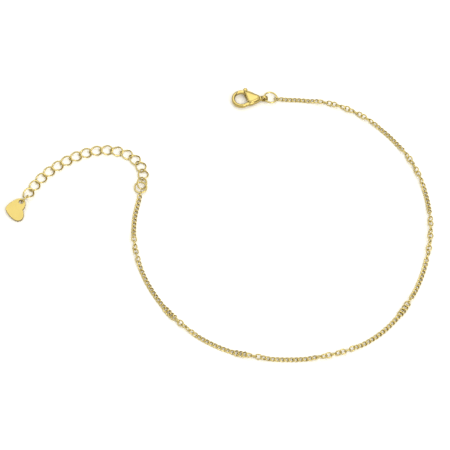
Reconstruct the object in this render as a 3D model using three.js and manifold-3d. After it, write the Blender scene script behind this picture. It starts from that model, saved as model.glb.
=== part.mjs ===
// Chain anklet, lying open as it is laid down: a lobster clasp on a jump ring, a fine curb chain with
// eight stations of larger twisted links, a second jump ring, an extender of curb links and a heart tag.
// All of it is gold-plated metal. Millimetres, +Z up, resting on z = 0, with the origin under its middle.
import * as THREE from "three";
import { mergeVertices } from "three/addons/utils/BufferGeometryUtils.js";
import Module from "manifold-3d";

const wasm = await Module();
wasm.setup();

// Links. pitch is the length that each link adds to its chain, width is across the link, wire is the
// thickness of its wire, twist is the turn in degrees from one end of the link to the other, and
// height is how far above the surface its middle lies.
const LINKS = {
  fine: { pitch: 1.285, width: 1.45, wire: 0.34, twist: 80, height: 0.37 },
  end: { pitch: 1.285, width: 1.45, wire: 0.34, twist: 0, height: 0.74 },
  round: { pitch: 1.37, width: 1.85, wire: 0.36, twist: 0, height: 0.94 },
  dense: { pitch: 1.18, width: 1.95, wire: 0.36, twist: 80, height: 0.46 },
  extender: { width: 3.3, wire: 0.46, twist: 72, height: 0.67 },
};

// The main chain from the clasp on, row by row. roll is the turn of a row's first link about the
// chain in degrees, and step is the further turn of each link after it.
const CHAIN = [
  { kind: "end", links: 1, roll: 78 },
  { kind: "fine", links: 9 },
  { kind: "round", links: 13, roll: 165, step: -52 },
  { kind: "fine", links: 10 },
  { kind: "round", links: 9, roll: 124, step: -52 },
  { kind: "fine", links: 8 },
  { kind: "round", links: 11, roll: 96, step: -56 },
  { kind: "fine", links: 11 },
  { kind: "round", links: 1, roll: 90 },
  { kind: "dense", links: 4 },
  { kind: "fine", links: 13 },
  { kind: "round", links: 8, roll: 122, step: -63 },
  { kind: "fine", links: 12 },
  { kind: "round", links: 3, roll: 128, step: -55 },
  { kind: "dense", links: 3 },
  { kind: "fine", links: 11 },
  { kind: "round", links: 4, roll: 96, step: -62 },
  { kind: "dense", links: 4 },
  { kind: "fine", links: 13 },
  { kind: "round", links: 6, roll: 145, step: -62 },
  { kind: "fine", links: 11 },
  { kind: "end", links: 1, roll: -78 },
];

// Where the main chain lies, from its first link to its last.
const CHAIN_ROUTE = [
  [16.39, 41.84], [26.4, 41.3], [35.1, 39.3], [43.0, 35.0], [49.6, 29.0], [54.8, 21.7], [58.4, 13.5],
  [60.2, 4.7], [60.3, -4.3], [58.8, -13.1], [55.9, -21.6], [51.5, -29.4], [45.6, -36.1],
  [38.2, -41.0], [29.6, -43.8], [20.7, -44.7], [11.8, -44.2], [3.1, -42.1], [-4.9, -38.0],
  [-11.8, -32.3], [-17.3, -25.2], [-21.4, -17.3], [-23.8, -8.6], [-24.1, 0.3], [-22.4, 9.77],
];
const RAMP = 2.6;

// Where the extender lies. Its first link is untwisted and leans on the jump ring, which lifts it.
const EXTENDER_ROUTE = [
  [-22.6, 11.0], [-21.7, 14.0], [-21.9, 17.1], [-23.3, 19.8], [-25.5, 21.9], [-28.3, 23.3],
  [-31.2, 24.0], [-34.2, 24.0], [-37.2, 23.4], [-40.1, 22.4], [-42.9, 21.0], [-45.5, 19.3],
  [-48.0, 17.5], [-50.2, 15.4], [-52.2, 13.1], [-53.9, 10.3], [-55.51, 7.7],
];
const EXTENDER_LINKS = 16;
const FIRST_LINK = { height: 0.95, roll: 30, twist: 0 };
const LAST_HEIGHT = 1.04;
const PLAY = 0.14;

// The two jump rings and the small ring of the tag: middle line radius, wire, centre and turns in
// degrees about X, Y and Z.
const JUMP_RINGS = {
  clasp_jump_ring: { radius: 1.85, wire: 0.5, centre: [15.19, 42.24, 0.92], turn: [-2.3, 6.2, 0] },
  extender_jump_ring: { radius: 1.7, wire: 0.5, centre: [-22.5, 11.1, 0.85], turn: [5, 0, 0] },
  tag_ring: { radius: 1.39, wire: 0.4, centre: [-55.68, 6.92, 1.51], turn: [-63.3, -30.8, 36.2] },
};

// The heart tag: a flat plate whose far lobe is lifted by the ring through its hole.
const TAG = { width: 7.0, length: 5.7, dip: 0.75, thick: 0.8, bevel: 0.1, holeRadius: 0.6 };
const TAG_CENTRE = [-58.25, 3.58];
const TAG_HOLE = [-2.4, 1.34];
const TAG_TURN = -97;
const TAG_TILT = 10;

// The lobster clasp, which lies on its side. Its own x runs from the hook to the eye.
const CLASP = { x: 3.75, y: 41.35, turn: 2, middle: 1.2 };
const HOOK = { x: 2.9, radius: 2.42, wide: 0.98, thick: 1.36, nose: 112, heel: 312 };
const HOOK_TAIL = [[5.9, -1.55], [7.2, -0.75], [8.2, -0.2]];
const BODY = { thick: 2.4, bevel: 0.5 };
const EYE = { x: 9.6, radius: 1.12, hole: 0.72, thick: 0.9 };
const NECK = { from: 7.0, wide: 1.3, thick: 1.3, into: 0.4 };
const PIN = { x: 6.75, y: 0.5, radius: 0.3, running: 0.07, sunk: 0.15 };

// The body's outline: its first corner, then straight corners and curves, each as its handles and end.
const BODY_OUTLINE = [
  [3.55, 2.35],
  [4.6, 2.75, 6.4, 1.7, 8.0, 0.65],
  [8.1, -0.65],
  [7.2, -1.6, 5.9, -2.3, 4.9, -2.35],
  [4.3, -1.2, 4.2, 0.8, 3.55, 2.35],
];

// The lever: reach and hub are radii about its pin, tip, back and belly are angles about the hook's
// middle, trim keeps it within the hook's band, and swing is how far it turns.
const LEVER = {
  thick: 1.0, side: 0.1, gap: 0.1, edge: 0.14, reach: 5.3, hub: 0.62, tip: 132, back: 62, belly: 60,
  root: 48, trim: 0.05, swing: 22,
};
const HUB = { from: 40, to: -160, rise: 0.3 };
const ROOT_SHIFT = { x: 0.5, y: -0.1 };
const TAB = { x: 3.95, y: 3.3, radius: 0.62, stem: 0.8, foot: 2.4, from: -50, to: 230 };

// The room cut for the lever, in sectors about the pin: between the cheeks, round the hub, and at the
// hook's nose. spare is the turn that the slot has beyond the lever's own swing.
const SLOT = { reach: 3.9, from: 60, to: 172, spare: 3 };
const HUB_SLOT = { reach: 1.3, to: 200 };
const NOSE_CUT = { from: 148, to: 175 };

// Sides of the meshes: along a link or ring, and round its wire or bar.
const SIDES = {
  chain: { along: 10, round: 5 },
  extender: { along: 14, round: 6 },
  ring: { along: 16, round: 6 },
  bar: 8,
  pin: 10,
  bore: 12,
  hole: 16,
  reach: 64,
};
const HOOK_STEP = 20;
const BAR_STEP = 3;
const GAP = 0.3;
const FUSED = 0.05;

const gold = (roughness) => new THREE.MeshStandardMaterial({ color: 0xe0b54a, metalness: 1, roughness });
const POLISHED = gold(0.18);
const SATIN = gold(0.4);

const radians = THREE.MathUtils.degToRad;
const anklet = new THREE.Group();

function addPiece(name, geometry, material = POLISHED) {
  const piece = new THREE.Mesh(geometry, material);
  piece.name = name;
  anklet.add(piece);
  return piece;
}

// Solid geometry with its shared corners merged, as joining and cutting need it.
function merged(geometry) {
  geometry.deleteAttribute("normal");
  geometry.deleteAttribute("uv");
  return mergeVertices(geometry, 1e-5);
}

function toSolid(geometry) {
  const closed = merged(geometry);
  return new wasm.Manifold(new wasm.Mesh({
    numProp: 3,
    vertProperties: new Float32Array(closed.attributes.position.array),
    triVerts: new Uint32Array(closed.index.array),
  }));
}

function toGeometry(solid) {
  const mesh = solid.getMesh();
  const geometry = new THREE.BufferGeometry();
  geometry.setAttribute("position", new THREE.BufferAttribute(mesh.vertProperties, 3));
  geometry.setIndex(new THREE.BufferAttribute(mesh.triVerts, 1));
  return geometry;
}

// An oval ring of round wire, twisted about its long axis x so that links of one chain lie alike.
function linkGeometry(halfLength, halfWidth, wire, twist, sides) {
  const geometry = new THREE.TorusGeometry(1, wire / 2, sides.round, sides.along);
  const corners = geometry.attributes.position;
  for (let i = 0; i < corners.count; i += 1) {
    const around = Math.atan2(corners.getY(i), corners.getX(i));
    const x = corners.getX(i) + (halfLength - 1) * Math.cos(around);
    const y = corners.getY(i) + (halfWidth - 1) * Math.sin(around);
    const turn = radians(twist) * x / (2 * halfLength);
    const z = corners.getZ(i);
    corners.setXYZ(i, x, y * Math.cos(turn) - z * Math.sin(turn), y * Math.sin(turn) + z * Math.cos(turn));
  }
  return geometry;
}

// The matrix that lays a link from one point of its chain's axis to another, rolled about that axis.
function along(start, end, roll) {
  const forward = end.clone().sub(start).normalize();
  const side = new THREE.Vector3(0, 0, 1).cross(forward).normalize();
  const up = forward.clone().cross(side);
  const place = new THREE.Matrix4().makeBasis(forward, side, up);
  place.setPosition(start.clone().add(end).multiplyScalar(0.5));
  return place.multiply(new THREE.Matrix4().makeRotationX(radians(roll)));
}

function curveThrough(points) {
  const corners = points.map(([x, y]) => new THREE.Vector3(x, y, 0));
  const curve = new THREE.CatmullRomCurve3(corners, false, "centripetal");
  curve.arcLengthDivisions = 1200;
  return curve;
}

// Main chain: the rows' spans along the route, and the height of the chain's axis, which rises where
// a station's links stand on edge.
const chainRoute = curveThrough(CHAIN_ROUTE);
const rows = [];
for (const row of CHAIN) {
  const from = rows.length ? rows[rows.length - 1].to : 0;
  rows.push({ ...row, from, to: from + row.links * LINKS[row.kind].pitch });
}

const chainLength = rows[rows.length - 1].to;

function axisHeight(at) {
  const heights = rows.map((row) => {
    const away = Math.max(row.from - at, at - row.to);
    const nearness = 1 - THREE.MathUtils.smoothstep(away, 0, RAMP);
    return THREE.MathUtils.lerp(LINKS.fine.height, LINKS[row.kind].height, nearness);
  });
  return Math.max(...heights);
}

function chainPoint(at) {
  const point = chainRoute.getPointAt(THREE.MathUtils.clamp(at / chainLength, 0, 1));
  point.z = axisHeight(at);
  return point;
}

// One link of the main chain, by its row and its number in the row. Neighbours press into each other
// by a hair, so that a station's links fuse.
function chainLink(row, number) {
  const { pitch, width, wire, twist } = LINKS[row.kind];
  const from = row.from + number * pitch;
  const inner = wire / 2 * Math.cos(Math.PI / SIDES.chain.round);
  const halfLength = (pitch - FUSED) / 2 + inner;
  const link = linkGeometry(halfLength, (width - wire) / 2, wire, twist, SIDES.chain);
  const roll = (row.roll ?? 0) + number * (row.step ?? 0);
  return link.applyMatrix4(along(chainPoint(from), chainPoint(from + pitch), roll));
}

// A station's rows of large links, fused end to end into one body.
function stationGeometry(stationRows) {
  let solid = null;
  for (const row of stationRows) {
    for (let number = 0; number < row.links; number += 1) {
      const link = toSolid(chainLink(row, number));
      solid = solid ? solid.add(link) : link;
    }
  }
  return toGeometry(solid);
}

// A stretch of the fine chain as a plain bar of the chain's flat section.
function runGeometry(from, to) {
  const { width, height } = LINKS.fine;
  const steps = Math.round((to - from) / BAR_STEP);
  const points = [];
  for (let i = 0; i <= steps; i += 1) {
    points.push(chainPoint(from + (to - from) * i / steps));
  }
  const bar = new THREE.CylinderGeometry(1, 1, 1, SIDES.bar, steps);
  const corners = bar.attributes.position;
  for (let i = 0; i < corners.count; i += 1) {
    const step = Math.round((corners.getY(i) + 0.5) * steps);
    const before = points[Math.max(step - 1, 0)];
    const after = points[Math.min(step + 1, steps)];
    const side = new THREE.Vector3(0, 0, 1).cross(after.clone().sub(before)).normalize();
    const corner = points[step].clone().addScaledVector(side, -corners.getX(i) * width / 2);
    corners.setXYZ(i, corner.x, corner.y, corner.z + corners.getZ(i) * height);
  }
  return bar;
}

const fineRows = rows.filter((row) => row.kind === "fine");
fineRows.forEach((row, index) => {
  const clear = LINKS.fine.wire + GAP;
  addPiece(`curb_run_${index + 1}`, runGeometry(row.from + clear, row.to - clear));
  const next = fineRows[index + 1];
  if (next) {
    const between = rows.slice(rows.indexOf(row) + 1, rows.indexOf(next));
    addPiece(`station_${index + 1}`, stationGeometry(between));
  }
});
addPiece("clasp_end_link", chainLink(rows[0], 0));
addPiece("extender_end_link", chainLink(rows[rows.length - 1], 0));

// Extender: each link is a piece of its own, hooked through the next with a small play.
const extenderRoute = curveThrough(EXTENDER_ROUTE);
const extenderLength = extenderRoute.getLength();
function extenderPoint(number) {
  const point = extenderRoute.getPointAt(number / EXTENDER_LINKS);
  point.z = LINKS.extender.height;
  if (number < 2) {
    point.z = FIRST_LINK.height;
  }
  if (number === EXTENDER_LINKS) {
    point.z = LAST_HEIGHT;
  }
  return point;
}
for (let number = 0; number < EXTENDER_LINKS; number += 1) {
  const { width, wire } = LINKS.extender;
  const { roll, twist } = number === 0 ? FIRST_LINK : { roll: 0, twist: LINKS.extender.twist };
  const pitch = extenderLength / EXTENDER_LINKS;
  const halfLength = (pitch + wire + PLAY) / 2;
  const link = linkGeometry(halfLength, (width - wire) / 2, wire, twist, SIDES.extender);
  link.applyMatrix4(along(extenderPoint(number), extenderPoint(number + 1), roll));
  addPiece(`extender_link_${number + 1}`, link);
}

for (const [name, ring] of Object.entries(JUMP_RINGS)) {
  const { round, along: around } = SIDES.ring;
  const piece = addPiece(name, new THREE.TorusGeometry(ring.radius, ring.wire / 2, round, around));
  piece.position.set(...ring.centre);
  piece.rotation.set(...ring.turn.map(radians), "ZYX");
}

// Heart tag, drawn with its point down: two round lobes, a shallow dip and gently bowed sides.
function heartShape({ width, length, dip }) {
  const top = length / 2;
  const half = width / 2;
  const shape = new THREE.Shape();
  shape.moveTo(0, top - dip);
  shape.bezierCurveTo(half * 0.22, top + 0.05, half * 0.95, top + 0.35, half, top - length * 0.3);
  shape.bezierCurveTo(half, top - length * 0.55, half * 0.4, -top + 0.35, 0, -top);
  shape.bezierCurveTo(-half * 0.4, -top + 0.35, -half, top - length * 0.55, -half, top - length * 0.3);
  shape.bezierCurveTo(-half * 0.95, top + 0.35, -half * 0.22, top + 0.05, 0, top - dip);
  return shape;
}
const tagHole = new THREE.CylinderGeometry(TAG.holeRadius, TAG.holeRadius, 2 * TAG.thick, SIDES.hole);
tagHole.rotateX(Math.PI / 2).translate(...TAG_HOLE, 0);
const heartPlate = toSolid(plate(heartShape(TAG), TAG.thick, TAG.bevel, 1));
const heart = toGeometry(heartPlate.subtract(toSolid(tagHole)));
heart.rotateZ(radians(TAG_TURN));
heart.rotateX(radians(TAG_TILT));
heart.computeBoundingBox();
const tag = addPiece("heart_tag", heart, SATIN);
tag.position.set(TAG_CENTRE[0], TAG_CENTRE[1], -heart.boundingBox.min.z);

// Clasp. A flat outline is drawn in the clasp's own plane and thickened evenly about it.
function plate(shape, thick, bevel = 0, bevelSegments = 2) {
  const geometry = new THREE.ExtrudeGeometry(shape, {
    depth: thick - 2 * bevel,
    bevelEnabled: bevel > 0,
    bevelSize: bevel,
    bevelOffset: -bevel,
    bevelThickness: bevel,
    bevelSegments,
    curveSegments: 5,
  });
  return geometry.translate(0, 0, bevel - thick / 2);
}

// A bent bar of oval section along points of the clasp's plane.
function bentBar(points, wide, thick) {
  const section = new THREE.Shape();
  section.absellipse(0, 0, thick / 2, wide / 2, 0, 2 * Math.PI);
  const path = new THREE.CatmullRomCurve3(points.map(([x, y]) => new THREE.Vector3(x, y, 0)));
  return new THREE.ExtrudeGeometry(section, { steps: 22, curveSegments: 4, extrudePath: path });
}

function hookPoint(degrees) {
  return [HOOK.x + HOOK.radius * Math.cos(radians(degrees)), HOOK.radius * Math.sin(radians(degrees))];
}

function sector(radius, from, to, thick) {
  const shape = new THREE.Shape();
  shape.absarc(PIN.x, PIN.y, radius, radians(from), radians(to), false);
  shape.lineTo(PIN.x, PIN.y);
  return toSolid(plate(shape, thick));
}

function disc(x, y, radius, thick, sides) {
  const geometry = new THREE.CylinderGeometry(radius, radius, thick, sides);
  return toSolid(geometry.rotateX(Math.PI / 2).translate(x, y, 0));
}

function claspBody() {
  const hook = [];
  for (let degrees = HOOK.nose; degrees <= HOOK.heel; degrees += HOOK_STEP) {
    hook.push(hookPoint(degrees));
  }
  hook.push(...HOOK_TAIL);

  const outline = new THREE.Shape();
  outline.moveTo(...BODY_OUTLINE[0]);
  for (const part of BODY_OUTLINE.slice(1)) {
    if (part.length === 2) {
      outline.lineTo(...part);
    } else {
      outline.bezierCurveTo(...part);
    }
  }

  const eye = new THREE.Shape();
  eye.absarc(0, 0, EYE.radius, 0, 2 * Math.PI);
  const hole = new THREE.Path();
  hole.absarc(0, 0, EYE.hole, 0, 2 * Math.PI, true);
  eye.holes.push(hole);
  const eyePlate = plate(eye, EYE.thick).rotateX(Math.PI / 2).translate(EYE.x, 0, 0);

  const neckLength = EYE.x - EYE.radius + NECK.into - NECK.from;
  const neck = new THREE.BoxGeometry(neckLength, NECK.wide, NECK.thick);
  neck.translate(NECK.from + neckLength / 2, 0, 0);

  const slot = LEVER.thick + 2 * LEVER.side;
  const sweep = LEVER.swing + SLOT.spare;
  return toSolid(bentBar(hook, HOOK.wide, HOOK.thick))
    .subtract(sector(LEVER.reach + LEVER.gap, NOSE_CUT.from, NOSE_CUT.to, BODY.thick))
    .add(toSolid(plate(outline, BODY.thick, BODY.bevel)))
    .add(toSolid(neck))
    .subtract(sector(SLOT.reach, SLOT.from, SLOT.to + sweep, slot))
    .subtract(sector(HUB_SLOT.reach, SLOT.from, HUB_SLOT.to + sweep, slot))
    .subtract(disc(PIN.x, PIN.y, LEVER.hub + LEVER.side, slot, SIDES.hole))
    .add(disc(PIN.x, PIN.y, PIN.radius, BODY.thick - 2 * PIN.sunk, SIDES.pin))
    .add(toSolid(eyePlate));
}

// The lever: a hub on the pin, a back along the body's edge, a finger round to the hook's nose and a
// thumb tab that stands out over the back.
function claspLever() {
  const outline = new THREE.Shape();
  const outer = HOOK.radius + HOOK.wide / 2 - LEVER.trim;
  const inner = HOOK.radius - HOOK.wide / 2 + LEVER.trim;
  const rootX = HOOK.x + inner * Math.cos(radians(LEVER.root)) + ROOT_SHIFT.x;
  const rootY = inner * Math.sin(radians(LEVER.root)) + ROOT_SHIFT.y;
  outline.absarc(HOOK.x, 0, outer, radians(LEVER.tip), radians(LEVER.back), true);
  outline.lineTo(PIN.x + HUB.rise, PIN.y + LEVER.hub - LEVER.trim);
  outline.absarc(PIN.x, PIN.y, LEVER.hub, radians(HUB.from), radians(HUB.to), true);
  outline.lineTo(rootX, rootY);
  outline.absarc(HOOK.x, 0, inner, radians(LEVER.belly), radians(LEVER.tip), false);
  const tab = new THREE.Shape();
  tab.absarc(TAB.x, TAB.y, TAB.radius, radians(TAB.from), radians(TAB.to), false);
  tab.lineTo(TAB.x - TAB.stem / 2, TAB.foot);
  tab.lineTo(TAB.x + TAB.stem / 2, TAB.foot);
  const bore = PIN.radius + PIN.running;
  const around = bore / Math.cos(Math.PI / SIDES.bore);
  return toSolid(plate(outline, LEVER.thick, LEVER.edge, 1))
    .intersect(disc(PIN.x, PIN.y, LEVER.reach, LEVER.thick, SIDES.reach))
    .add(toSolid(plate(tab, LEVER.thick)))
    .subtract(disc(PIN.x, PIN.y, around, 2 * LEVER.thick, SIDES.bore));
}

for (const [name, solid] of [["clasp_body", claspBody()], ["clasp_lever", claspLever()]]) {
  const piece = addPiece(name, toGeometry(solid));
  piece.position.set(CLASP.x, CLASP.y, CLASP.middle);
  piece.rotation.z = radians(CLASP.turn);
}

export default anklet;
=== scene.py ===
import math

import bmesh
import bpy
import numpy as np
from mathutils import Matrix, Vector


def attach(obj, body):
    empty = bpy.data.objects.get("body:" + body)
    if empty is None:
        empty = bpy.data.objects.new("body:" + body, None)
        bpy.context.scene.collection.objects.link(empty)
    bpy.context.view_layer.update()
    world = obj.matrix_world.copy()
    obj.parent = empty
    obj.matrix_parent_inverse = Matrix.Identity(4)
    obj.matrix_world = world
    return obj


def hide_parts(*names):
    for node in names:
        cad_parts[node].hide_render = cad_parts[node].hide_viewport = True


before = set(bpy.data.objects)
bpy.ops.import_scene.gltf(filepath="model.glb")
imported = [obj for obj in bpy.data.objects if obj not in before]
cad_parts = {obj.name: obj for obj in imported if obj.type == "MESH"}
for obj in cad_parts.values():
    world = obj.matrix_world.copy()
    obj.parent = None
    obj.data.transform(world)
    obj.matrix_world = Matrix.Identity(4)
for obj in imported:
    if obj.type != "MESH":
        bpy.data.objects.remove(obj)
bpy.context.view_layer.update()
MM = 0.001


# The surface and the light.
# The anklet lies on a plain pale sheet in a studio tent that is bright overhead, with a soft lamp from
# the front right and a weak one overhead. The camera looks down at 59 degrees through a long lens.
class Value:
    """A node's output, on which arithmetic adds Math nodes to the same tree."""

    def __init__(self, nodes, node, output=0):
        self.nodes = nodes
        self.node = node
        self.socket = node.outputs[output] if node.outputs else None

    def of(self, output):
        return Value(self.nodes, self.node, output)

    def math(self, operation, first, second=0.0):
        return self.nodes.add("ShaderNodeMath", {"operation": operation}, {0: first, 1: second})

    def __add__(self, other):
        return self.math("ADD", self, other)

    def __radd__(self, other):
        return self.math("ADD", other, self)

    def __mul__(self, other):
        return self.math("MULTIPLY", self, other)

    def __rmul__(self, other):
        return self.math("MULTIPLY", other, self)


class Nodes:
    """A node tree, and the one method that adds a node, sets it up and fills or links its sockets."""

    def __init__(self, tree):
        self.tree = tree

    def add(self, kind, settings=None, sockets=None):
        node = self.tree.nodes.new(kind)
        for name, value in (settings or {}).items():
            if name == "stops":
                ramp = node.color_ramp
                while len(ramp.elements) < len(value):
                    ramp.elements.new(1.0)
                for element, (position, colour) in zip(ramp.elements, value):
                    element.position, element.color = position, colour
            else:
                setattr(node, name, value)
        for key, value in (sockets or {}).items():
            if isinstance(value, Value):
                self.tree.links.new(value.socket, node.inputs[key])
            else:
                node.inputs[key].default_value = value
        return Value(self, node)


def new_material(name):
    """An empty material, and its nodes."""
    material = bpy.data.materials.new(name)
    material.use_nodes = True
    material.node_tree.nodes.clear()
    return material, Nodes(material.node_tree)


def noise(nodes, place, scale, detail=2.0):
    """Soft noise from 0 to 1."""
    sockets = {"Vector": place, "Scale": scale, "Detail": detail}
    return nodes.add("ShaderNodeTexNoise", None, sockets).of("Fac")


def blend(nodes, factor, first, second):
    """A colour between two others, on the Mix node's colour sockets."""
    sockets = {"Factor": factor, 6: first, 7: second}
    return nodes.add("ShaderNodeMix", {"data_type": "RGBA"}, sockets).of(2)


SHEET_SIZE = 3.0
SHEET_COLOUR = (0.96, 0.935, 0.86, 1.0)
SHEET_SHADE = (0.94, 0.915, 0.84, 1.0)
SHEET_GRAIN = 60.0
SHEET_ROUGHNESS = 0.8

material, nodes = new_material("pale_sheet")
place = nodes.add("ShaderNodeTexCoord").of("Object")
tint = blend(nodes, noise(nodes, place, SHEET_GRAIN), SHEET_COLOUR, SHEET_SHADE)
shader = nodes.add("ShaderNodeBsdfPrincipled", None, {"Base Color": tint, "Roughness": SHEET_ROUGHNESS})
nodes.add("ShaderNodeOutputMaterial", None, {"Surface": shader})

mesh = bpy.data.meshes.new("sheet")
half = SHEET_SIZE / 2
corners = [(-half, -half, 0), (half, -half, 0), (half, half, 0), (-half, half, 0)]
mesh.from_pydata(corners, [], [(0, 1, 2, 3)])
mesh.materials.append(material)
sheet = bpy.data.objects.new("sheet", mesh)
bpy.context.collection.objects.link(sheet)

TARGET = Vector((1.8, -1.0, 0.0)) * MM
ELEVATION = 59.0
DISTANCE = 0.7143
LENS = 200.0
SENSOR = 36.0
NEAREST = 0.01

tilt = math.radians(ELEVATION)
camera = bpy.data.objects.new("camera", bpy.data.cameras.new("camera"))
camera.data.lens = LENS
camera.data.sensor_width = SENSOR
camera.data.clip_start = NEAREST
camera.location = TARGET + DISTANCE * Vector((0, -math.cos(tilt), math.sin(tilt)))
camera.rotation_euler = (math.pi / 2 - tilt, 0, 0)
bpy.context.collection.objects.link(camera)
bpy.context.scene.camera = camera

# name: place, size and power in watts; each faces the middle of the anklet
LAMPS = {
    "front_lamp": {"place": (0.5, -0.55, 0.65), "size": 0.5, "power": 3.6},
    "overhead_lamp": {"place": (0.0, 0.55, 0.9), "size": 0.5, "power": 0.8},
}
for name, lamp in LAMPS.items():
    data = bpy.data.lights.new(name, "AREA")
    data.size = lamp["size"]
    data.energy = lamp["power"]
    light = bpy.data.objects.new(name, data)
    light.location = lamp["place"]
    light.rotation_euler = (-Vector(lamp["place"])).to_track_quat("-Z", "Y").to_euler()
    bpy.context.collection.objects.link(light)

# height of a direction, and the studio tent's brightness there
TENT = [(0.0, 0.1), (0.3, 0.3), (0.55, 1.12), (0.75, 1.38), (1.0, 1.38)]
BRIGHTEST = 1.38

world = bpy.data.worlds.new("studio")
world.use_nodes = True
world.node_tree.nodes.clear()
nodes = Nodes(world.node_tree)
direction = nodes.add("ShaderNodeSeparateXYZ", None, {0: nodes.add("ShaderNodeTexCoord").of("Generated")})
stops = [(height, (light / BRIGHTEST,) * 3 + (1.0,)) for height, light in TENT]
glow = nodes.add("ShaderNodeValToRGB", {"stops": stops}, {"Fac": direction.of("Z")})
tent = nodes.add("ShaderNodeBackground", None, {"Color": glow, "Strength": BRIGHTEST})
nodes.add("ShaderNodeOutputWorld", None, {"Surface": tent})
bpy.context.scene.world = world
bpy.context.scene.view_settings.view_transform = "Standard"


# The small curb links.
# The main chain is mostly small twisted oval links of round brass wire, each through the next, soldered
# shut, polished and gold plated. They lie flat, and the chain stands for the CAD's nine plain bars.
GOLD = (0.64, 0.525, 0.21, 1.0)
GOLD_DEEP = (0.49, 0.385, 0.125, 1.0)
# how rough the gold is, and the sizes of its patches of tone and of its ripples
CHAIN_FINISH = {"roughness": 0.2, "patch": 2.5 * MM, "ripple": 0.4 * MM, "ripple_depth": 0.01 * MM}
PATCH_DETAIL = 3.0
RIPPLE_DETAIL = 4.0
RIPPLE_STRENGTH = 0.35
# share of the roughness that stays, and share that the ripple adds
GLOSS = {"least": 0.7, "spread": 0.6}


def plated_gold(name, roughness, patch, ripple, ripple_depth, light=GOLD, deep=GOLD_DEEP):
    """Gold plating whose tone and gloss drift over patches, on metal with a fine ripple."""
    material, nodes = new_material(name)
    place = nodes.add("ShaderNodeTexCoord").of("Object")
    tone = blend(nodes, noise(nodes, place, 1 / patch, PATCH_DETAIL), deep, light)
    fine = noise(nodes, place, 1 / ripple, RIPPLE_DETAIL)
    bump = nodes.add("ShaderNodeBump", None, {
        "Strength": RIPPLE_STRENGTH, "Distance": ripple_depth, "Height": fine})
    shader = nodes.add("ShaderNodeBsdfPrincipled", None, {
        "Base Color": tone, "Metallic": 1.0, "Normal": bump,
        "Roughness": roughness * (GLOSS["least"] + fine * GLOSS["spread"])})
    nodes.add("ShaderNodeOutputMaterial", None, {"Surface": shader})
    return material


chain_gold = plated_gold("chain_gold", **CHAIN_FINISH)

# pitch, width, wire and height in millimetres, twist in degrees
LINKS = {
    "fine": {"pitch": 1.285, "width": 1.45, "wire": 0.38, "twist": 90, "height": 0.4},
    "end": {"pitch": 1.285, "width": 1.45, "wire": 0.34, "twist": 0, "height": 0.74},
    "round": {"pitch": 1.37, "width": 1.85, "wire": 0.38, "twist": 0, "height": 0.94},
    "dense": {"pitch": 1.18, "width": 1.95, "wire": 0.42, "twist": 80, "height": 0.47},
}
# kind, links, roll of the first link and step of roll from link to link, in degrees
CHAIN = [
    ("end", 1, 78, 0), ("fine", 9, 0, 0),
    ("round", 13, 165, -52), ("fine", 10, 0, 0),
    ("round", 9, 124, -52), ("fine", 8, 0, 0),
    ("round", 11, 96, -56), ("fine", 11, 0, 0),
    ("round", 1, 90, 0), ("dense", 4, 0, 0), ("fine", 13, 0, 0),
    ("round", 8, 122, -63), ("fine", 12, 0, 0),
    ("round", 3, 128, -55), ("dense", 3, 0, 0), ("fine", 11, 0, 0),
    ("round", 4, 96, -62), ("dense", 4, 0, 0), ("fine", 13, 0, 0),
    ("round", 6, 145, -62), ("fine", 11, 0, 0), ("end", 1, -78, 0),
]
CHAIN_ROUTE = [
    (16.39, 41.84), (26.4, 41.3), (35.1, 39.3), (43.0, 35.0), (49.6, 29.0), (54.8, 21.7), (58.4, 13.5),
    (60.2, 4.7), (60.3, -4.3), (58.8, -13.1), (55.9, -21.6), (51.5, -29.4), (45.6, -36.1),
    (38.2, -41.0), (29.6, -43.8), (20.7, -44.7), (11.8, -44.2), (3.1, -42.1), (-4.9, -38.0),
    (-11.8, -32.3), (-17.3, -25.2), (-21.4, -17.3), (-23.8, -8.6), (-24.1, 0.3), (-22.4, 9.77),
]
# millimetres over which the chain rises to a station, and steps of the route between two points
RAMP = 2.6
SPAN_STEPS = 60


class Route:
    """A smooth curve through points on the surface, read by the distance along it."""

    def __init__(self, points):
        corners = np.array(points, float)
        corners = np.vstack([2 * corners[0] - corners[1], corners, 2 * corners[-1] - corners[-2]])
        spots = []
        for p0, p1, p2, p3 in zip(corners, corners[1:], corners[2:], corners[3:]):
            d0, d1, d2 = (np.linalg.norm(b - a) ** 0.5 for a, b in ((p0, p1), (p1, p2), (p2, p3)))
            start = ((p1 - p0) / d0 - (p2 - p0) / (d0 + d1) + (p2 - p1) / d1) * d1
            end = ((p2 - p1) / d1 - (p3 - p1) / (d1 + d2) + (p3 - p2) / d2) * d1
            for t in np.arange(SPAN_STEPS) / SPAN_STEPS:
                square = (-3 * p1 + 3 * p2 - 2 * start - end) * t ** 2
                cube = (2 * p1 - 2 * p2 + start + end) * t ** 3
                spots.append(p1 + start * t + square + cube)
        spots.append(corners[-2])
        self.spots = np.array(spots)
        steps = np.linalg.norm(np.diff(self.spots, axis=0), axis=1)
        self.lengths = np.concatenate([[0], np.cumsum(steps)])
        self.length = self.lengths[-1]

    def at(self, fraction, height):
        distance = fraction * self.length
        x, y = (np.interp(distance, self.lengths, self.spots[:, axis]) for axis in (0, 1))
        return Vector((x, y, height))


chain_route = Route(CHAIN_ROUTE)
rows = []
for kind, count, roll, step in CHAIN:
    start = rows[-1]["to"] if rows else 0.0
    rows.append({"kind": kind, "count": count, "roll": roll, "step": step,
                 "from": start, "to": start + count * LINKS[kind]["pitch"]})
chain_length = rows[-1]["to"]


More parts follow.
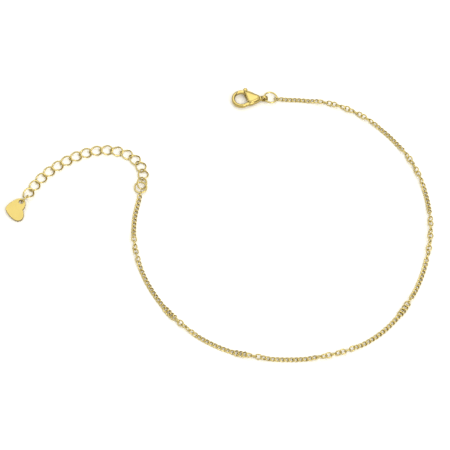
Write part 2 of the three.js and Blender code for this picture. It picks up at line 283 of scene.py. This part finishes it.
def chain_point(at):
    """A point of the chain's axis, which rises where the links of a station stand on edge."""
    height = 0.0
    low = LINKS["fine"]["height"]
    for row in rows:
        away = min(max(row["from"] - at, at - row["to"], 0.0) / RAMP, 1.0)
        nearness = 1 - away * away * (3 - 2 * away)
        height = max(height, low + (LINKS[row["kind"]]["height"] - low) * nearness)
    return chain_route.at(at / chain_length, height)


def laid(start, end, roll):
    """The place and turn of a link between two points of its chain's axis, rolled about that axis."""
    forward = (end - start).normalized()
    side = Vector((0, 0, 1)).cross(forward).normalized()
    up = forward.cross(side)
    turn = Matrix((forward, side, up)).transposed() @ Matrix.Rotation(math.radians(roll), 3, "X")
    return (start + end) / 2, turn.to_euler()


def links_of(kind):
    """Every link of the main chain of one kind, as places and turns."""
    found = []
    pitch = LINKS[kind]["pitch"]
    for row in rows:
        if row["kind"] == kind:
            for number in range(row["count"]):
                start = chain_point(row["from"] + number * pitch)
                end = chain_point(row["from"] + (number + 1) * pitch)
                found.append(laid(start, end, row["roll"] + number * row["step"]))
    return found


def link_tree():
    """Twisted oval rings of wire, one on each point, turned by the point's own turn."""
    tree = bpy.data.node_groups.new("oval_links", "GeometryNodeTree")
    tree.interface.new_socket("Points", in_out="INPUT", socket_type="NodeSocketGeometry")
    for name in ("Half Length", "Half Width", "Wire", "Twist"):
        tree.interface.new_socket(name, in_out="INPUT", socket_type="NodeSocketFloat")
    for name in ("Link Sides", "Wire Sides"):
        tree.interface.new_socket(name, in_out="INPUT", socket_type="NodeSocketInt")
    tree.interface.new_socket("Metal", in_out="INPUT", socket_type="NodeSocketMaterial")
    tree.interface.new_socket("Links", in_out="OUTPUT", socket_type="NodeSocketGeometry")
    nodes = Nodes(tree)
    given = nodes.add("NodeGroupInput")
    ring = nodes.add("GeometryNodeCurvePrimitiveCircle", None, {
        "Resolution": given.of("Link Sides"), "Radius": 1.0})
    spot = nodes.add("ShaderNodeSeparateXYZ", None, {0: nodes.add("GeometryNodeInputPosition")})
    turn = spot.of("X") * given.of("Twist") * 0.5
    across = spot.of("Y") * given.of("Half Width")
    oval = nodes.add("ShaderNodeCombineXYZ", None, {
        "X": spot.of("X") * given.of("Half Length"),
        "Y": across * turn.math("COSINE", turn), "Z": across * turn.math("SINE", turn)})
    path = nodes.add("GeometryNodeSetPosition", None, {"Geometry": ring, "Position": oval})
    section = nodes.add("GeometryNodeCurvePrimitiveCircle", None, {
        "Resolution": given.of("Wire Sides"), "Radius": given.of("Wire") * 0.5})
    link = nodes.add("GeometryNodeCurveToMesh", None, {"Curve": path, "Profile Curve": section})
    link = nodes.add("GeometryNodeSetShadeSmooth", None, {"Geometry": link})
    euler = nodes.add("GeometryNodeInputNamedAttribute", {"data_type": "FLOAT_VECTOR"}, {"Name": "turn"})
    rotation = nodes.add("FunctionNodeEulerToRotation", None, {"Euler": euler})
    copies = nodes.add("GeometryNodeInstanceOnPoints", None, {
        "Points": given.of("Points"), "Instance": link, "Rotation": rotation})
    solid = nodes.add("GeometryNodeRealizeInstances", None, {"Geometry": copies})
    coated = nodes.add("GeometryNodeSetMaterial", None, {"Geometry": solid, "Material": given.of("Metal")})
    nodes.add("NodeGroupOutput", None, {"Links": coated})
    return tree


oval_links = link_tree()


def settled(piece):
    """A piece with its modifiers turned into plain mesh."""
    graph = bpy.context.evaluated_depsgraph_get()
    mesh = bpy.data.meshes.new_from_object(piece.evaluated_get(graph))
    piece.modifiers.clear()
    piece.data = mesh
    mesh.name = piece.name
    return piece


def wire_links(name, places, half_length, width, wire, twist, metal, link_sides=24, wire_sides=8):
    """One piece of equal wire links, at places given in millimetres."""
    mesh = bpy.data.meshes.new(name)
    mesh.from_pydata([place * MM for place, _ in places], [], [])
    turns = mesh.attributes.new("turn", "FLOAT_VECTOR", "POINT")
    turns.data.foreach_set("vector", [angle for _, turn in places for angle in turn])
    piece = bpy.data.objects.new(name, mesh)
    bpy.context.collection.objects.link(piece)
    modifier = piece.modifiers.new("links", "NODES")
    modifier.node_group = oval_links
    given = {
        "Half Length": half_length * MM, "Half Width": (width - wire) / 2 * MM, "Wire": wire * MM,
        "Twist": math.radians(twist), "Link Sides": link_sides, "Wire Sides": wire_sides, "Metal": metal}
    for item in oval_links.interface.items_tree:
        if item.in_out == "INPUT" and item.name in given:
            modifier[item.identifier] = given[item.name]
    return settled(piece)


def chain_links(name, kind, nodes):
    """The main chain's links of one kind, as a piece that stands for CAD nodes."""
    size = LINKS[kind]
    half_length = (size["pitch"] + size["wire"]) / 2
    piece = wire_links(name, links_of(kind), half_length, size["width"], size["wire"], size["twist"],
                       chain_gold)
    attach(piece, "anklet")
    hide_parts(*nodes)


chain_links("small_curb_links", "fine", [f"curb_run_{number}" for number in range(1, 10)])
chain_links("end_links", "end", ["clasp_end_link", "extender_end_link"])


# The eight stations.
# Stretches of larger links break up the small chain: untwisted round links that turn against each other
# in a spiral, and short dense runs of wide flat curb. The same wire, polish and plating as the rest.
stations = [f"station_{number}" for number in range(1, 9)]
chain_links("station_round_links", "round", stations)
chain_links("station_dense_links", "dense", stations)


# The jump rings.
# A ring of thicker round wire joins the chain to the clasp's eye, and another joins it to the extender.
# Each is bent round and closed with a butt joint, which isn't soldered.
CLASP_RING = {"radius": 1.85, "wire": 0.5, "centre": (15.19, 42.24, 0.92), "turn": (-2.3, 6.2, 0)}
EXTENDER_RING = {"radius": 1.7, "wire": 0.5, "centre": (-22.5, 11.1, 0.85), "turn": (5, 0, 0)}
RING_SIDES = (64, 16)
RING_FINISH = {"roughness": 0.16, "patch": 3 * MM, "ripple": 0.5 * MM, "ripple_depth": 0.008 * MM}
ring_gold = plated_gold("ring_gold", **RING_FINISH)


def jump_ring(name, radius, wire, centre, turn):
    """A round ring of wire, as a piece that stands for the CAD node of the same name."""
    x, y, z = (math.radians(angle) for angle in turn)
    turn = Matrix.Rotation(z, 3, "Z") @ Matrix.Rotation(y, 3, "Y") @ Matrix.Rotation(x, 3, "X")
    piece = wire_links(f"{name}_wire", [(Vector(centre), turn.to_euler())], radius, 2 * radius + wire,
                       wire, 0, ring_gold, *RING_SIDES)
    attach(piece, "anklet")
    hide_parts(name)


jump_ring("clasp_jump_ring", **CLASP_RING)
jump_ring("extender_jump_ring", **EXTENDER_RING)


# The clasp's body.
# The lobster clasp is cast brass, polished and gold plated: a rounded hook ring, two domed cheeks with
# the lever between them, and a neck with an upright eye. A pin through both cheeks carries the lever.
CLASP = {"place": (3.75, 41.35, 1.2), "turn": 2}
HOOK = {"x": 2.9, "radius": 2.42, "wide": 0.98, "thick": 1.36, "nose": 112, "heel": 312, "corner": 0.42}
HOOK_TAIL = [(5.9, -1.66), (7.2, -0.88), (8.2, -0.25)]
HOOK_STEPS = 60
TAIL_STEPS = 8
TAIL_PASSES = 6
CHEEK_OUTLINE = [
    [(3.55, 2.35)], [(4.5, 2.5), (6.2, 1.55), (8.0, 0.65)], [(8.35, 0.5), (8.4, -0.45), (8.1, -0.65)],
    [(7.3, -1.15), (6.4, -1.75), (5.6, -1.85)], [(5.2, -1.8), (4.9, -1.65), (4.72, -1.35)],
    [(4.35, -0.4), (4.2, 0.9), (3.55, 2.35)],
]
# height and size of the cheeks' outline from their flank to their crown
CHEEK_DOME = [(0.85, 1.0), (0.95, 0.98), (1.03, 0.93), (1.1, 0.84), (1.16, 0.68), (1.19, 0.45), (1.2, 0.2)]
EYE = {"x": 9.6, "radius": 1.12, "hole": 0.72, "thick": 0.9, "corner": 0.17, "steps": 48}
NECK = {"from": 6.9, "to": 8.95, "wide": 1.25, "thick": 1.25}
PIN = {"x": 6.75, "y": 0.5, "radius": 0.3, "half": 1.13, "rounded": 0.06}
SLOT = {"thick": 1.2, "reach": 3.9, "from": 60, "to": 197}
HUB_SLOT = {"reach": 1.3, "to": 225}
NOSE_CUT = {"reach": 5.35, "from": 148, "to": 175, "thick": 3.0}
HUB_ROOM = 0.72
BORE_ROUNDING = 0.02
# size of the grain that melts the parts together, and passes of smoothing before and after the cuts
CAST_GRAIN = 0.05
CAST_SMOOTHING = (6, 5)
SMOOTHING_FACTOR = 0.5
END_STEPS = 6


def drawn(outline, steps=14):
    """The points of an outline of corners and curves, in the clasp's own plane."""
    points = [Vector(outline[0][0])]
    for part in outline[1:]:
        if len(part) == 1:
            points.append(Vector(part[0]))
        else:
            start, (first, second, end) = points[-1], (Vector(spot) for spot in part)
            for t in (number / steps for number in range(1, steps + 1)):
                points.append(start * (1 - t) ** 3 + first * 3 * t * (1 - t) ** 2
                              + second * 3 * t * t * (1 - t) + end * t ** 3)
    return points[:-1] if (points[0] - points[-1]).length < 1e-6 else points


def arc(centre, radius, start, end, steps=24):
    """Points along an arc, with its angles in degrees."""
    angles = [math.radians(start + (end - start) * number / steps) for number in range(steps + 1)]
    return [Vector((centre[0] + radius * math.cos(angle), centre[1] + radius * math.sin(angle)))
            for angle in angles]


def lofted(form, loops, closed=False):
    """A closed skin through equal loops of points, with flat ends unless it runs round into itself."""
    rows = [[form.verts.new(spot) for spot in loop] for loop in loops]
    pairs = list(zip(rows, rows[1:])) + ([(rows[-1], rows[0])] if closed else [])
    faces = []
    for low, high in pairs:
        for number in range(len(low)):
            after = (number + 1) % len(low)
            faces.append(form.faces.new((low[number], low[after], high[after], high[number])))
    if not closed:
        faces += [form.faces.new(rows[0]), form.faces.new(rows[-1])]
    bmesh.ops.recalc_face_normals(form, faces=faces)


def band_section(wide, thick, corner=0.3, steps=4):
    """A flat band's section: a rectangle with rounded corners, as offsets across and up."""
    spots = []
    for number, (x, y) in enumerate(((1, 1), (-1, 1), (-1, -1), (1, -1))):
        middle = (x * (wide / 2 - corner), y * (thick / 2 - corner))
        spots += arc(middle, corner, 90 * number, 90 * number + 90, steps)
    return spots


def swept(form, path, section):
    """A bar of one section along points of the clasp's plane."""
    loops = []
    for number, spot in enumerate(path):
        ahead = path[min(number + 1, len(path) - 1)] - path[max(number - 1, 0)]
        across = Vector((ahead.y, -ahead.x)).normalized()
        loops.append([Vector((*(spot + across * offset.x), offset.y)) for offset in section])
    lofted(form, loops)


def slab(form, points, thick):
    """A flat plate of one outline, centred on the clasp's plane."""
    lofted(form, [[Vector((*spot, level)) for spot in points] for level in (-thick / 2, thick / 2)])


def round_bar(form, x, y, radius, half, rounded=0.0, sides=32):
    """A round bar across the clasp's plane, with its ends rounded off."""
    turns = [math.pi / 2 * number / END_STEPS for number in range(END_STEPS + 1)]
    levels = [(half - rounded * (1 - math.cos(turn)), radius - rounded * (1 - math.sin(turn)))
              for turn in turns]
    levels = [(-level, size) for level, size in levels] + levels[::-1]
    lofted(form, [[Vector((*spot, level)) for spot in arc((x, y), size, 0, 360, sides)[:-1]]
                  for level, size in levels])


def made(name, form):
    """A new object from a form."""
    mesh = bpy.data.meshes.new(name)
    form.to_mesh(mesh)
    form.free()
    piece = bpy.data.objects.new(name, mesh)
    bpy.context.collection.objects.link(piece)
    return piece


def cast(piece, grain, smoothing):
    """Melts a piece's overlapping parts into one skin with soft edges."""
    skin = piece.modifiers.new("skin", "REMESH")
    skin.mode = "VOXEL"
    skin.voxel_size = grain
    soft = piece.modifiers.new("soft", "SMOOTH")
    soft.factor = SMOOTHING_FACTOR
    soft.iterations = smoothing


def cut(piece, cutter):
    """Cuts a shape out of a piece, and throws the shape away."""
    tool = piece.modifiers.new("cut", "BOOLEAN")
    tool.operation = "DIFFERENCE"
    tool.object = cutter
    tool.solver = "MANIFOLD"
    settled(piece)
    bpy.data.objects.remove(cutter)


def on_clasp(piece, metal):
    """Takes a piece from the clasp's own millimetres to its place on the surface, and plates it."""
    turn = Matrix.Rotation(math.radians(CLASP["turn"]), 4, "Z")
    piece.data.transform(Matrix.Scale(MM, 4) @ Matrix.Translation(CLASP["place"]) @ turn)
    piece.data.materials.clear()
    piece.data.materials.append(metal)
    piece.data.shade_smooth()


CAST_FINISH = {
    "roughness": 0.17, "patch": 2 * MM, "ripple": 0.35 * MM, "ripple_depth": 0.012 * MM,
    "light": (0.52, 0.41, 0.145, 1.0), "deep": (0.41, 0.305, 0.09, 1.0)}
cast_gold = plated_gold("cast_gold", **CAST_FINISH)

form = bmesh.new()
centre = (HOOK["x"], 0)
hook_path = arc(centre, HOOK["radius"], HOOK["nose"], HOOK["heel"], HOOK_STEPS)
tail = [hook_path[-1]] + [Vector(spot) for spot in HOOK_TAIL]
for first, second in zip(tail, tail[1:]):
    hook_path += [first.lerp(second, number / TAIL_STEPS) for number in range(1, TAIL_STEPS + 1)]
last = HOOK_STEPS - 1
for _ in range(TAIL_PASSES):
    trios = zip(hook_path[last - 1:], hook_path[last:], hook_path[last + 1:])
    hook_path[last:-1] = [(a + b + c) / 3 for a, b, c in trios]
swept(form, hook_path, band_section(HOOK["wide"], HOOK["thick"], HOOK["corner"]))
hook = made("hook", form)
pin_place = (PIN["x"], PIN["y"])
form = bmesh.new()
wedge = [Vector(pin_place)] + arc(pin_place, NOSE_CUT["reach"], NOSE_CUT["from"], NOSE_CUT["to"])
slab(form, wedge, NOSE_CUT["thick"])
cut(hook, made("cutter", form))
form = bmesh.new()
form.from_mesh(hook.data)
bpy.data.objects.remove(hook)
outline = drawn(CHEEK_OUTLINE)
middle = sum(outline, Vector((0, 0))) / len(outline)
dome = [(-level, size) for level, size in reversed(CHEEK_DOME)] + CHEEK_DOME
lofted(form, [[Vector((*middle.lerp(spot, size), level)) for spot in outline] for level, size in dome])
swept(form, [Vector((NECK["from"], 0)), Vector((NECK["to"], 0))], band_section(NECK["wide"], NECK["thick"]))
wall = EYE["radius"] - EYE["hole"]
eye_section = band_section(wall, EYE["thick"], EYE["corner"])
loops = []
for angle in (math.tau * number / EYE["steps"] for number in range(EYE["steps"])):
    reaches = [(EYE["hole"] + wall / 2 + offset.x, offset.y) for offset in eye_section]
    loops.append([Vector((EYE["x"] + math.cos(angle) * reach, across, math.sin(angle) * reach))
                  for reach, across in reaches])
lofted(form, loops, closed=True)
clasp_body = made("clasp_cast_body", form)
cast(clasp_body, CAST_GRAIN, CAST_SMOOTHING[0])
settled(clasp_body)

for reach, end in ((SLOT["reach"], SLOT["to"]), (HUB_SLOT["reach"], HUB_SLOT["to"])):
    form = bmesh.new()
    slab(form, [Vector(pin_place)] + arc(pin_place, reach, SLOT["from"], end), SLOT["thick"])
    cut(clasp_body, made("cutter", form))
form = bmesh.new()
round_bar(form, *pin_place, HUB_ROOM, SLOT["thick"] / 2, BORE_ROUNDING)
cut(clasp_body, made("cutter", form))
cast(clasp_body, CAST_GRAIN, CAST_SMOOTHING[1])
settled(clasp_body)

form = bmesh.new()
form.from_mesh(clasp_body.data)
round_bar(form, *pin_place, PIN["radius"], PIN["half"], PIN["rounded"])
form.to_mesh(clasp_body.data)
form.free()
on_clasp(clasp_body, cast_gold)
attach(clasp_body, "anklet")
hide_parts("clasp_body")


# The clasp's lever.
# Its hub sits on the pin between the cheeks, its finger runs round to the hook's nose, and a thumb knob
# stands out over its back. Cast, polished and plated like the body; a hidden spring holds it closed.
LEVER = {"thick": 1.0, "reach": 5.3, "hub": 0.62, "bore": 0.37, "tip": 132, "back": 62, "belly": 60,
         "root": (4.725, 1.371), "trim": 0.05, "shoulder": (7.05, 1.07), "hub_from": 40, "hub_to": -160}
TAB = {"x": 4.15, "y": 3.15, "radius": 0.64, "half": 0.52, "rounded": 0.4,
       "stem": 0.8, "stem_thick": 0.8, "foot": 2.4}
LEVER_GRAIN = 0.036
LEVER_SMOOTHING = (2, 8)
LEVER_BACK = [(4.75, 2.7), (5.55, 2.38), (6.5, 1.8)]

outer = HOOK["radius"] + HOOK["wide"] / 2 - LEVER["trim"]
inner = HOOK["radius"] - HOOK["wide"] / 2 + LEVER["trim"]
outline = arc(centre, outer, LEVER["tip"], LEVER["back"])
outline += [Vector(spot) for spot in LEVER_BACK + [LEVER["shoulder"]]]
outline += arc(pin_place, LEVER["hub"], LEVER["hub_from"], LEVER["hub_to"]) + [Vector(LEVER["root"])]
outline += arc(centre, inner, LEVER["belly"], LEVER["tip"])
hinge = Vector(pin_place)
outline = [hinge + (spot - hinge) * min(LEVER["reach"] / (spot - hinge).length, 1) for spot in outline]
form = bmesh.new()
slab(form, outline, LEVER["thick"])
left, right = TAB["x"] - TAB["stem"] / 2, TAB["x"] + TAB["stem"] / 2
stem = [(left, TAB["foot"]), (right, TAB["foot"]), (right, TAB["y"]), (left, TAB["y"])]
slab(form, [Vector(spot) for spot in stem], TAB["stem_thick"])
round_bar(form, TAB["x"], TAB["y"], TAB["radius"], TAB["half"], TAB["rounded"])
clasp_lever = made("clasp_cast_lever", form)
form = bmesh.new()
round_bar(form, *pin_place, LEVER["bore"], LEVER["thick"], BORE_ROUNDING)
cast(clasp_lever, LEVER_GRAIN, LEVER_SMOOTHING[0])
cut(clasp_lever, made("cutter", form))
cast(clasp_lever, LEVER_GRAIN, LEVER_SMOOTHING[1])
settled(clasp_lever)
on_clasp(clasp_lever, cast_gold)
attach(clasp_lever, "lever")
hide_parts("clasp_lever")


# The extender.
# Sixteen open curb links of heavier wire, each hooked through the next with a little play, so that the
# clasp can take any of them. The first leans on the jump ring.
EXTENDER_ROUTE = [
    (-22.6, 11.0), (-21.7, 14.0), (-21.9, 17.1), (-23.3, 19.8), (-25.5, 21.9), (-28.3, 23.3),
    (-31.2, 24.0), (-34.2, 24.0), (-37.2, 23.4), (-40.1, 22.4), (-42.9, 21.0), (-45.5, 19.3),
    (-48.0, 17.5), (-50.2, 15.4), (-52.2, 13.1), (-53.9, 10.3), (-55.51, 7.7),
]
EXTENDER = {"links": 16, "width": 3.3, "wire": 0.46, "twist": 72, "height": 0.67, "play": 0.14}
FIRST_LINK = {"height": 0.95, "roll": 30, "twist": 0}
LAST_HEIGHT = 1.04
EXTENDER_SIDES = (48, 12)

extender_route = Route(EXTENDER_ROUTE)
count = EXTENDER["links"]
heights = [FIRST_LINK["height"]] * 2 + [EXTENDER["height"]] * (count - 2) + [LAST_HEIGHT]
joints = [extender_route.at(number / count, heights[number]) for number in range(count + 1)]
half_length = (extender_route.length / count + EXTENDER["wire"] + EXTENDER["play"]) / 2
for number in range(count):
    roll, twist = (FIRST_LINK["roll"], FIRST_LINK["twist"]) if number == 0 else (0, EXTENDER["twist"])
    place = laid(joints[number], joints[number + 1], roll)
    piece = wire_links(f"extender_wire_link_{number + 1}", [place], half_length, EXTENDER["width"],
                       EXTENDER["wire"], twist, ring_gold, *EXTENDER_SIDES)
    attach(piece, "anklet")
    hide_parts(f"extender_link_{number + 1}")


# The tag's ring.
# A smaller ring of thinner wire goes through the last link and through the heart's hole.
TAG_RING = {"radius": 1.39, "wire": 0.4, "centre": (-55.68, 6.92, 1.51), "turn": (-63.3, -30.8, 36.2)}
jump_ring("tag_ring", **TAG_RING)


# The heart tag.
# A heart stamped from flat brass plate, with one hole in a lobe, its edges rounded and its face brushed
# to a satin gold. Its rounded edge carries painted shade: a dark gold that stands in for the dark
# reflection along its flank. It lies flat, with the lobe on the ring lifted a little.
TAG = {"thick": 0.8, "edge": 0.12}
HALF_HEART = [
    [(0, 2.1)], [(0.77, 2.9), (3.325, 3.2), (3.5, 1.14)], [(3.5, -0.285), (1.4, -2.5), (0, -2.85)],
]
TAG_PLACE = (-58.25, 3.58)
TAG_HOLE = {"x": -2.4, "y": 1.34, "radius": 0.6}
TAG_TURN = -97
TAG_TILT = 10
HEART_STEPS = 40
HOLE_STEPS = 48
EDGE_STEPS = 4
# width of the band inside the face's rim, in edge radii, and the upward slope that still counts as edge
FACE_BAND = 1.7
RIM_SLOPE = 0.95

right = drawn(HALF_HEART, HEART_STEPS)
heart_outline = right + [Vector((-spot.x, spot.y)) for spot in reversed(right[1:-1])]


def inset(points, distance):
    """A closed outline drawn in by a distance."""
    moved = []
    for before, spot, after in zip(points[-1:] + points[:-1], points, points[1:] + points[:1]):
        ahead = (after - before).normalized()
        moved.append(spot + Vector((ahead.y, -ahead.x)) * -distance)
    return moved


def edge_loops(points, sign):
    """The loops of a rounded edge, from the lower face's rim over the flank to the upper face's rim."""
    half, edge = TAG["thick"] / 2, TAG["edge"]
    turns = [math.pi / 2 * number / EDGE_STEPS for number in range(EDGE_STEPS + 1)]
    sizes = [(edge * (1 - math.cos(turn)), half - edge * (1 - math.sin(turn))) for turn in turns]
    sizes.append((FACE_BAND * edge, half))
    levels = [(drawn_in, -level) for drawn_in, level in reversed(sizes)] + sizes
    return [[Vector((*spot, level)) for spot in inset(points, sign * drawn_in)]
            for drawn_in, level in levels]


hole_outline = arc((TAG_HOLE["x"], TAG_HOLE["y"]), TAG_HOLE["radius"], 0, 360, HOLE_STEPS)[:-1]
if sum(a.x * b.y - b.x * a.y for a, b in zip(heart_outline, heart_outline[1:])) < 0:
    heart_outline.reverse()
form = bmesh.new()
rims = []
for points, sign in ((heart_outline, 1), (hole_outline, -1)):
    rows = [[form.verts.new(spot) for spot in loop] for loop in edge_loops(points, sign)]
    for low, high in zip(rows, rows[1:]):
        for number in range(len(low)):
            after = (number + 1) % len(low)
            form.faces.new((low[number], low[after], high[after], high[number]))
    rims.append((rows[0], rows[-1]))
for face in (0, 1):
    edges = [form.edges.get((rim[face][number], rim[face][number - 1])) for rim in rims
             for number in range(len(rim[face]))]
    bmesh.ops.triangle_fill(form, edges=edges, use_beauty=True)
bmesh.ops.recalc_face_normals(form, faces=form.faces)
heart = made("satin_heart", form)
# marks the faces of the rounded edge, which get the painted shade
rim = heart.data.attributes.new("rim", "FLOAT", "FACE")
rim.data.foreach_set("value", [float(abs(face.normal.z) < RIM_SLOPE) for face in heart.data.polygons])
turn = Matrix.Rotation(math.radians(TAG_TILT), 4, "X") @ Matrix.Rotation(math.radians(TAG_TURN), 4, "Z")
heart.data.transform(turn)
lowest = min(vertex.co.z for vertex in heart.data.vertices)
heart.data.transform(Matrix.Scale(MM, 4) @ Matrix.Translation((*TAG_PLACE, -lowest)))
heart.data.shade_smooth()

SATIN_LIGHT = (0.66, 0.52, 0.178, 1.0)
SATIN_DEEP = (0.575, 0.45, 0.135, 1.0)
# painted shade: the dark gold on the rounded edge stands in for the dark reflection along the flank, and is
# not a colour of the metal
SATIN_RIM_PAINTED_SHADE = (0.27, 0.19, 0.055, 1.0)
BRUSH_LENGTH = 1.6 * MM
BRUSH_WIDTH = 0.05 * MM
BRUSH_DEPTH = 0.01 * MM
BRUSH_STRENGTH = 0.25
BRUSH_SHARE = 0.3
CLOUD = 2.2 * MM
SATIN_DETAIL = 3.0
SATIN_ROUGHNESS = 0.32
BRUSH_ROUGHNESS = 0.14

material, nodes = new_material("satin_gold_face")
place = nodes.add("ShaderNodeTexCoord").of("Object")
lines = nodes.add("ShaderNodeMapping", None, {
    "Vector": place, "Rotation": (0, 0, math.radians(-TAG_TURN)),
    "Scale": (1 / BRUSH_LENGTH, 1 / BRUSH_WIDTH, 1 / BRUSH_WIDTH)})
brushed = noise(nodes, lines, 1.0, SATIN_DETAIL)
cloud = noise(nodes, place, 1 / CLOUD, SATIN_DETAIL)
face = blend(nodes, cloud * (1 - BRUSH_SHARE) + brushed * BRUSH_SHARE, SATIN_DEEP, SATIN_LIGHT)
edge = nodes.add("ShaderNodeAttribute", {"attribute_name": "rim"}).of("Fac")
bump = nodes.add("ShaderNodeBump", None, {
    "Strength": BRUSH_STRENGTH, "Distance": BRUSH_DEPTH, "Height": brushed})
# the edge faces get the painted shade in place of the satin face's colour
shader = nodes.add("ShaderNodeBsdfPrincipled", None, {
    "Base Color": blend(nodes, edge, face, SATIN_RIM_PAINTED_SHADE), "Metallic": 1.0,
    "Roughness": SATIN_ROUGHNESS + brushed * BRUSH_ROUGHNESS, "Normal": bump})
nodes.add("ShaderNodeOutputMaterial", None, {"Surface": shader})
heart.data.materials.append(material)
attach(heart, "anklet")
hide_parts("heart_tag")
